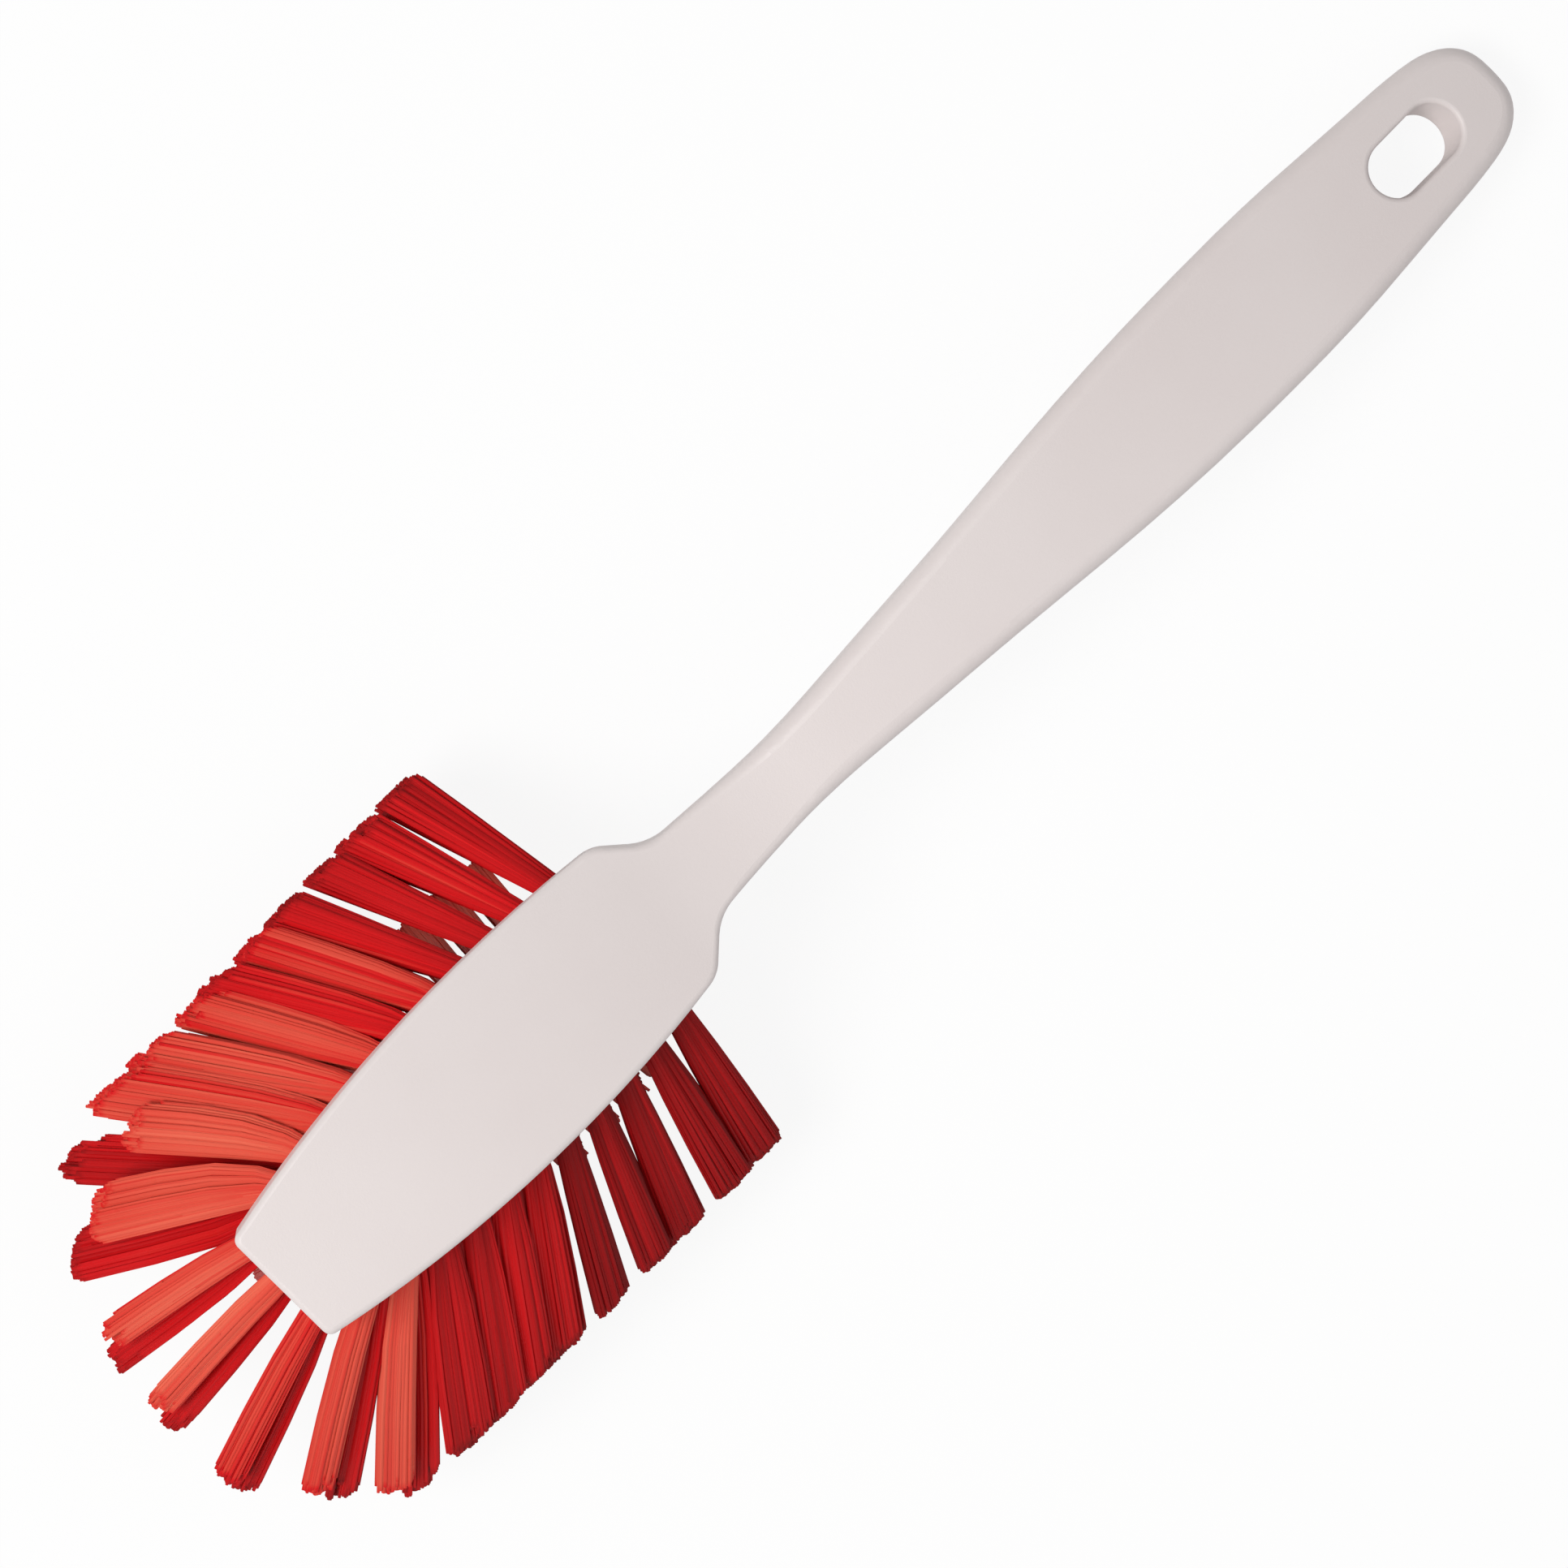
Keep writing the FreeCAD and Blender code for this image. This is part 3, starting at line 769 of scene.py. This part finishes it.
    def _outer(self, root: Array, tip: Array, trim: Array, width: float, lie: Lie) -> None:
        """Adds an outer tuft, which drops as it leans out to its tip.

        Args:
            root: Its hole, x and y.
            tip: Its tip, x and y.
            trim: Level direction that the cut faces.
            width: Spread at the tip.
            lie: How its strands lie.
        """
        height = self.underside(root[1])
        drop = float(np.hypot(*(tip - root))) / math.tan(math.radians(self.outer_lean))
        self._add(
            Row.OUTER,
            np.array([*root, height]),
            np.array([*tip, height - drop]),
            np.array([*trim, 0.0]),
            width,
            lie,
        )

    def _side_places(self, edge: SideTrim) -> list[tuple[Array, Array, Array, float, Lie]]:
        """Outer tufts of one side, from the rear to the front.

        Args:
            edge: How that side's tufts end.

        Returns:
            The arguments of each tuft, for _outer.
        """
        mirror = np.array([1.0, edge.side])
        return [
            (root * mirror, tip * mirror, trim * mirror, width, lie)
            for root, (tip, trim), width, lie in zip(
                self.outer_roots(), edge.ends(), edge.widths, edge.lies
            )
        ]

    def _lay_out_outer(self) -> None:
        """Adds the outer row: up the left side, across the front and down the right side."""
        for place in self._side_places(self.left):
            self._outer(*place)
        tip = np.array(self.front_tip)
        self._outer(np.array([self.front_margin, 0.0]), tip, tip, self.front_width, PARTED)
        for place in reversed(self._side_places(self.right)):
            self._outer(*place)

    def _inner(self, row: Row, x: float, y: float, lean: float, fan: float) -> None:
        """Adds a tuft of the middle or centre row, trimmed at one level.

        Args:
            row: Its row.
            x: Its hole, from the front.
            y: Its hole, across.
            lean: Lean from the upright, in radians, away from the middle.
            fan: Turn of the lean to the front, in radians.
        """
        side = math.copysign(1.0, y)
        root = np.array([x, y, self.underside(y)])
        drop = root[2] + self.head_thickness + self.centre_length
        run = drop * math.tan(lean)
        tip = root + np.array([-run * math.sin(fan), side * run * math.cos(fan), -drop])
        self._add(row, root, tip, np.array([0.0, 0.0, -1.0]), self.inner_width, INNER)

    def _lay_out_middle(self) -> None:
        """Adds the middle row, each tuft between two outer ones, and one at the front."""
        roots = self.outer_roots()[1 : self.middle_count + 2, 0]
        centre_x, centre_y, radius = self.side_circle()
        x = (roots[:-1] + roots[1:]) / 2
        y = centre_y + np.sqrt(radius**2 - (x - centre_x) ** 2) - self.middle_margin
        fan = math.radians(self.middle_fan) * np.linspace(0.0, 1.0, self.middle_count) ** 2
        lean = math.radians(self.middle_lean)
        places = list(zip(x, y, fan))
        for hole_x, hole_y, turn in places:
            self._inner(Row.MIDDLE, hole_x, hole_y, lean, turn)
        self._inner(Row.MIDDLE, self.middle_front, 0.0, lean, math.pi / 2)
        for hole_x, hole_y, turn in reversed(places):
            self._inner(Row.MIDDLE, hole_x, -hole_y, lean, turn)

    def _lay_out_centre(self) -> None:
        """Adds the upright tufts down the middle of the head."""
        for x in self.outer_roots()[1 : self.centre_count + 1, 0]:
            self._inner(Row.CENTRE, x, 0.0, 0.0, 0.0)


@dataclass
class FilamentMaker:
    """Turns a tuft into the mesh of its strands.

    A drawn strand stands for a few filaments side by side.

    Attributes:
        count: Strands in one tuft.
        breadth: Breadth of a strand, in millimetres.
        height: Height of a strand, in millimetres.
        sides: Sides of a strand's section.
        stops: Where a strand bends, as shares of its free length.
        hole_radius: Radius of the bundle at the mouth of its hole.
        buried: How far the strands run down into the hole.
        squareness: How far the round bundle is pressed square, 0 for round and 1 for square.
        disc_stray: Chance spread of a strand's place in the bundle, as a share of the radius.
        stray: Chance spread of a strand's end, in millimetres.
        locks: Locks that the strands of a tuft cling to.
        lock_stray: Chance spread of a lock's end, in millimetres.
        lock_pull: How far the strands close up to the middle of their lock, as a share.
        lock_fray: Part of the lie's raggedness that whole locks share.
        strand_fray: Part of the lie's raggedness of each strand by itself.
        tone_spread: How far locks and strands differ in tone; tufts differ half as much.
        root_painted_shade: Change of tone at the root, painted shade where the strands leave the
            head.
        root_reach: Where the root's change of tone has gone, as a share of the free length.
        tip_painted_shade: Change of tone at the cut end, painted shade on the ends.
        tip_reach: Where the cut end's change of tone sets in, as a share of the free length.
        seed: Seed of the chance in the first row.
        row_seed: Step of the seed from row to row.
    """

    count: int = 420
    breadth: float = 0.5
    height: float = 0.2
    sides: int = 4
    stops: tuple[float, ...] = (0.0, 0.14, 0.38, 0.68, 0.97, 1.0)
    hole_radius: float = 1.62
    buried: float = 3.0
    squareness: float = 0.6
    disc_stray: float = 0.03
    stray: float = 0.14
    locks: int = 22
    lock_stray: float = 0.16
    lock_pull: float = 0.04
    lock_fray: float = 1.7
    strand_fray: float = 0.7
    tone_spread: float = 0.055
    root_painted_shade: float = -0.10
    root_reach: float = 0.3
    tip_painted_shade: float = -0.25
    tip_reach: float = 0.96
    seed: int = 7
    row_seed: int = 1000

    def build(self, tuft: Tuft) -> Piece:
        """Makes a tuft's strands as one mesh object.

        Each strand starts on a sunflower spiral in the hole and aims at the same place on the
        wider, squarer section of the tip. The two legs of the fold lie a little to either side,
        and strands cling to locks. A plane cuts the ends, and each end falls a little short by
        chance.

        Args:
            tuft: The tuft.

        Returns:
            The object, at the origin.
        """
        row_number = list(Row).index(tuft.row)
        rng = np.random.default_rng(self.seed + self.row_seed * row_number + tuft.number)
        disc = self._disc(rng)
        lock = self._locks(disc, rng)
        lines = self._lines(tuft, disc, lock, rng)
        tone = self._tones(tuft, disc, lock, rng)
        return self._mesh(tuft.node + "_filaments", REST.place(self._tubes(tuft, lines)), tone)

    def _disc(self, rng: np.random.Generator) -> Array:
        """Places of the strands in a unit disc: a sunflower spiral, a little disturbed."""
        order = np.arange(self.count) + 0.5
        spiral = GOLDEN_TURN * order
        radius = np.sqrt(order / self.count)
        disc = np.stack([radius * np.cos(spiral), radius * np.sin(spiral)], axis=1)
        return disc + rng.normal(0.0, self.disc_stray, disc.shape)

    def _locks(self, disc: Array, rng: np.random.Generator) -> Array:
        """The lock that each strand clings to: the nearest of a few strands picked by chance."""
        middles = disc[rng.choice(self.count, self.locks, replace=False)]
        return np.linalg.norm(disc[:, None, :] - middles, axis=2).argmin(axis=1)

    def _lines(self, tuft: Tuft, disc: Array, lock: Array, rng: np.random.Generator) -> Array:
        """Centre lines of all strands, as count by stations by 3.

        The spread grows with the share t of the length as (1 - exp(-k t)) / (1 - exp(-k)), with
        the lie's flare for k. The cut falls short by the rounding times the cube of the place
        across.

        Args:
            tuft: The tuft.
            disc: Places in the unit disc.
            lock: Lock of each strand.
            rng: The tuft's own chance.

        Returns:
            The lines, each from inside the hole to its cut end.
        """
        frame = np.stack(tuft.axes())
        lie = tuft.lie
        longest = np.abs(disc).max(axis=1) / np.linalg.norm(disc, axis=1)
        section = np.array([tuft.width, tuft.depth])
        spread = disc * longest[:, None] ** -self.squareness * section / 2.0
        members = np.bincount(lock, minlength=self.locks)
        totals = [np.bincount(lock, part, self.locks) for part in spread.T]
        middle = np.stack(totals, axis=1) / members[:, None]
        spread += self.lock_pull * (middle[lock] - spread)
        spread += rng.normal(0.0, self.lock_stray, (self.locks, 2))[lock]
        spread += rng.normal(0.0, self.stray, disc.shape)
        leg = np.sign(disc[:, 1])
        spread += leg[:, None] * np.array([-lie.split, lie.lift])
        mouth = self.hole_radius * disc
        starts = tuft.root + mouth @ frame
        ends = tuft.tip + spread @ frame
        cut = ((tuft.tip - starts) @ tuft.trim) / ((ends - starts) @ tuft.trim)
        short = np.abs(rng.normal(0.0, self.strand_fray * lie.ragged, self.count))
        short += lie.short * (leg > 0)
        short += np.abs(rng.normal(0.0, self.lock_fray * lie.ragged, self.locks))[lock]
        short += lie.rounding * np.abs(disc[:, 0]) ** 3
        share = np.array(self.stops) * (cut - short)[:, None]
        grown = (1.0 - np.exp(-lie.flare * share)) / (1.0 - math.exp(-lie.flare))
        offset = mouth[:, None, :] + grown[..., None] * (spread - mouth)[:, None, :]
        free = tuft.root + share[..., None] * (tuft.tip - tuft.root) + offset @ frame
        inside = (starts - tuft.heading * self.buried)[:, None, :]
        return np.concatenate([inside, free], axis=1)

    def _tubes(self, tuft: Tuft, lines: Array) -> Array:
        """Flattened rings of points round each centre line, square to it.

        Args:
            tuft: The tuft, whose level direction the strands' breadth follows.
            lines: Centre lines, count by stations by 3.

        Returns:
            The points, count by stations by sides by 3.
        """
        run = unit(np.gradient(lines, axis=1))
        across = tuft.axes()[0]
        first = unit(across - run * (run @ across)[..., None])
        second = np.cross(run, first)
        turn = 2.0 * math.pi * np.arange(self.sides) / self.sides
        ring = self.breadth * np.cos(turn)[:, None] * first[:, :, None, :]
        ring = ring + self.height * np.sin(turn)[:, None] * second[:, :, None, :]
        return lines[:, :, None, :] + ring / 2.0

    def _tones(self, tuft: Tuft, disc: Array, lock: Array, rng: np.random.Generator) -> Array:
        """Tones along the strands: the tuft's painted light or shade, painted light on the upper
        leg, painted shade at both ends.

        Args:
            tuft: The tuft.
            disc: Places in the unit disc.
            lock: Lock of each strand.
            rng: The tuft's own chance.

        Returns:
            Count by stations, 0 for the deepest red and 1 for the brightest.
        """
        # The tuft's tone is its painted light or shade, with a little chance on top.
        whole = tuft.lie.tone + rng.normal(0.0, self.tone_spread / 2.0)
        # Painted light on the upper leg, painted shade on the lower leg in its shadow.
        strand = whole + tuft.lie.contrast * (disc[:, 1] > 0.0)
        strand += rng.normal(0.0, self.tone_spread, self.locks)[lock]
        strand += rng.normal(0.0, self.tone_spread, self.count)
        # Painted shade: deeper near the head and at the cut ends.
        places = (0.0, self.root_reach, self.tip_reach, 1.0)
        along = np.interp(self.stops, places, (self.root_painted_shade, 0.0, 0.0, self.tip_painted_shade))
        along = np.concatenate([along[:1], along])
        return np.clip(strand[:, None] + along, 0.0, 1.0)

    def _mesh(self, name: str, points: Array, tone: Array) -> Piece:
        """Joins the rings to closed, flat-sided tubes and stores each strand's tone.

        Args:
            name: The object's name.
            points: Count by stations by sides by 3, in metres.
            tone: Count by stations.

        Returns:
            The object.
        """
        count, stations, sides, _ = points.shape
        index = np.arange(count * stations * sides).reshape(count, stations, sides)
        following = np.roll(index, -1, axis=2)
        quads = np.stack(
            [index[:, :-1], following[:, :-1], following[:, 1:], index[:, 1:]], axis=-1
        ).reshape(-1, 4)
        caps = np.concatenate([index[:, 0, ::-1], index[:, -1]], axis=0)
        mesh = bpy.data.meshes.new(name)
        mesh.vertices.add(points.size // 3)
        mesh.vertices.foreach_set("co", points.reshape(-1).astype(np.float32))
        loops = np.concatenate([quads.reshape(-1), caps.reshape(-1)]).astype(np.int32)
        sizes = np.concatenate([np.full(len(quads), 4), np.full(len(caps), sides)])
        starts = np.concatenate([[0], np.cumsum(sizes)[:-1]]).astype(np.int32)
        mesh.loops.add(len(loops))
        mesh.loops.foreach_set("vertex_index", loops)
        mesh.polygons.add(len(sizes))
        mesh.polygons.foreach_set("loop_start", starts)
        mesh.update(calc_edges=True)
        mesh.validate()
        mesh.polygons.foreach_set("use_smooth", np.zeros(len(sizes), bool))
        # Each point's tone, painted light and shade included.
        layer = mesh.attributes.new("strand_tone", "FLOAT", "POINT")
        layer.data.foreach_set("value", np.repeat(tone.reshape(-1), sides).astype(np.float32))
        piece = bpy.data.objects.new(name, mesh)
        bpy.context.scene.collection.objects.link(piece)
        return piece


@dataclass
class Brush:
    """The whole brush: its kept solids and its tufts of filament.

    Attributes:
        groups: Shared surface effects.
        bristles: Where the tufts stand and end.
        maker: Makes the strands of a tuft.
    """

    frame: dict
    groups: SurfaceGroups
    bristles: BristleField = field(default_factory=BristleField)
    maker: FilamentMaker = field(default_factory=FilamentMaker)

    def dress_solids(self) -> None:
        """Gives the moulding and the staples their finished materials."""
        body = SatinPolypropylene().make(self.groups)
        wire = DrawnWire().make(self.groups)
        for name, node in self.frame["nodes"].items():
            if name == "handle":
                self._dress(node, body)
            elif name.startswith("staples"):
                self._dress(node, wire)
            else:
                continue
            LOG.info("dressed %s", name)

    @staticmethod
    def _dress(node: Piece, material: Material) -> None:
        """Puts a material on every slot of a kept node."""
        for slot in node.material_slots:
            slot.material = material

    def build_tufts(self) -> None:
        """Replaces every tuft's solid by its strands."""
        self.bristles.lay_out()
        material = GlossFilament().make(self.groups)
        for tuft in self.bristles.tufts:
            piece = self.maker.build(tuft)
            piece.data.materials.append(material)
            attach(piece, "root")
            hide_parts(tuft.node)
            LOG.info("built %s, %d faces", piece.name, len(piece.data.polygons))


@dataclass(frozen=True)
class SoftLight:
    """A square soft light that faces the middle of the brush.

    Attributes:
        name: Its name.
        place: Where it stands, row frame, metres.
        size: Its side, in metres.
        power: Its power, in watts.
        tint: Its colour.
        aim: The point that it faces.
    """

    name: str
    place: Point3
    size: float
    power: float
    tint: Colour
    aim: Point3 = (0.0, 0.0, 0.03)

    def add(self) -> None:
        """Adds the light to the scene."""
        data = bpy.data.lights.new(self.name, "AREA")
        data.shape = "SQUARE"
        data.size = self.size
        data.energy = self.power
        data.color = self.tint
        light = bpy.data.objects.new(self.name, data)
        light.location = self.place
        facing = Vector(self.aim) - Vector(self.place)
        light.rotation_euler = facing.to_track_quat("-Z", "Y").to_euler()
        bpy.context.scene.collection.objects.link(light)


@dataclass
class Studio:
    """Floor, lights and camera of a plain product picture.

    Attributes:
        frame_width: Width of the picture at the object, in millimetres.
        distance: Distance of the camera, in millimetres.
        side_tilt: Tilt of the camera to the left of the brush, in degrees.
        middle: Point of the brush in the middle of the picture, brush axes, millimetres.
        sensor: Width of the camera's sensor, in millimetres.
        clip: Nearest and farthest that the camera sees, in metres.
        key: Large soft light from above, at the front left.
        fill: Weak, wider light from the right.
        room: Strength of the even light from all round.
        floor_half: Half the side of the floor, in metres.
        floor_grey: Share of the light that the floor gives back.
        floor_glow: How far the floor is bleached to white for the camera, as a share.
    """

    frame_width: float = 238.0
    distance: float = 1100.0
    side_tilt: float = 4.5
    middle: Point3 = (108.4, 0.15, 0.0)
    sensor: float = 36.0
    clip: Point2 = (0.05, 20.0)
    key: SoftLight = SoftLight("key_light", (-0.40, 0.30, 1.03), 0.6, 8.9, (1.0, 0.985, 0.97))
    fill: SoftLight = SoftLight("fill_light", (0.25, -0.6, 0.95), 0.9, 1.8, (0.97, 0.985, 1.0))
    room: float = 0.36
    floor_half: float = 2.5
    floor_grey: float = 0.86
    floor_glow: float = 0.9

    def set_camera(self) -> None:
        """Looks straight down on the back of the head, tilted a little, handle up to the right."""
        tilt = math.radians(self.side_tilt)
        back = REST.direction(np.array([0.0, math.sin(tilt), math.cos(tilt)]))
        up = REST.direction(np.array([1.0, 1.0, 0.0]) / math.sqrt(2.0))
        up = unit(up - back * np.dot(up, back))
        right = np.cross(up, back)
        eye = REST.place(np.array(self.middle)) + back * self.distance / MM_PER_METRE
        data = bpy.data.cameras.new("picture_camera")
        data.sensor_width = self.sensor
        data.lens = self.sensor * self.distance / self.frame_width
        data.clip_start, data.clip_end = self.clip
        camera = bpy.data.objects.new("picture_camera", data)
        turn = Matrix([Vector(right), Vector(up), Vector(back)]).transposed()
        camera.matrix_world = Matrix.Translation(Vector(eye)) @ turn.to_4x4()
        bpy.context.scene.collection.objects.link(camera)
        bpy.context.scene.camera = camera

    def set_lights(self) -> None:
        """Adds the two lights and an even room that the camera sees as white."""
        self.key.add()
        self.fill.add()
        world = bpy.data.worlds.new("room")
        board = NodeBoard.blank(world)
        out = board.add("ShaderNodeOutputWorld")
        room = board.add("ShaderNodeBackground", Color=WHITE, Strength=self.room)
        white = board.add("ShaderNodeBackground", Color=WHITE, Strength=1.0)
        shown = self._shown(board, room.outputs[0], white.outputs[0])
        board.link(shown, out.inputs["Surface"])
        bpy.context.scene.world = world

    @staticmethod
    def _shown(board: NodeBoard, around: Socket, seen: Socket) -> Socket:
        """Gives rays straight from the camera a shader of their own.

        Args:
            board: Where the nodes go.
            around: Shader for all other rays.
            seen: Shader for the camera's rays.

        Returns:
            The joint shader's socket.
        """
        mix = board.blended(around, seen)
        rays = board.add("ShaderNodeLightPath")
        board.link(rays.outputs["Is Camera Ray"], mix.inputs["Fac"])
        return mix.outputs["Shader"]

    def lay_floor(self) -> None:
        """A wide white floor that keeps a pale shadow."""
        half = self.floor_half
        mesh = bpy.data.meshes.new("floor")
        corners = [(-half, -half, 0.0), (half, -half, 0.0), (half, half, 0.0), (-half, half, 0.0)]
        mesh.from_pydata(corners, [], [(0, 1, 2, 3)])
        floor = bpy.data.objects.new("floor", mesh)
        bpy.context.scene.collection.objects.link(floor)
        material = bpy.data.materials.new("white_floor")
        board = NodeBoard.blank(material)
        out = board.add("ShaderNodeOutputMaterial")
        grey = (self.floor_grey,) * 3
        matte = board.add("ShaderNodeBsdfDiffuse", Color=(*grey, 1.0))
        glow = board.add("ShaderNodeEmission", Color=WHITE, Strength=1.0)
        blend = board.blended(matte.outputs[0], glow.outputs[0])
        blend.inputs["Fac"].default_value = self.floor_glow
        shown = self._shown(board, matte.outputs[0], blend.outputs[0])
        board.link(shown, out.inputs["Surface"])
        floor.data.materials.append(material)


def clear_scene() -> None:
    """Takes away whatever the empty file starts with."""
    for thing in list(bpy.data.objects):
        bpy.data.objects.remove(thing, do_unlink=True)


def main() -> None:
    """Builds the brush piece by piece, then the studio round it."""
    logging.basicConfig(level=logging.INFO, format="%(name)s: %(message)s")
    clear_scene()
    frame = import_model()
    bpy.context.scene.view_settings.view_transform = "Standard"
    brush = Brush(frame, SurfaceGroups())
    brush.dress_solids()
    brush.build_tufts()
    studio = Studio()
    studio.lay_floor()
    studio.set_lights()
    studio.set_camera()


if __name__ == "__main__":
    main()
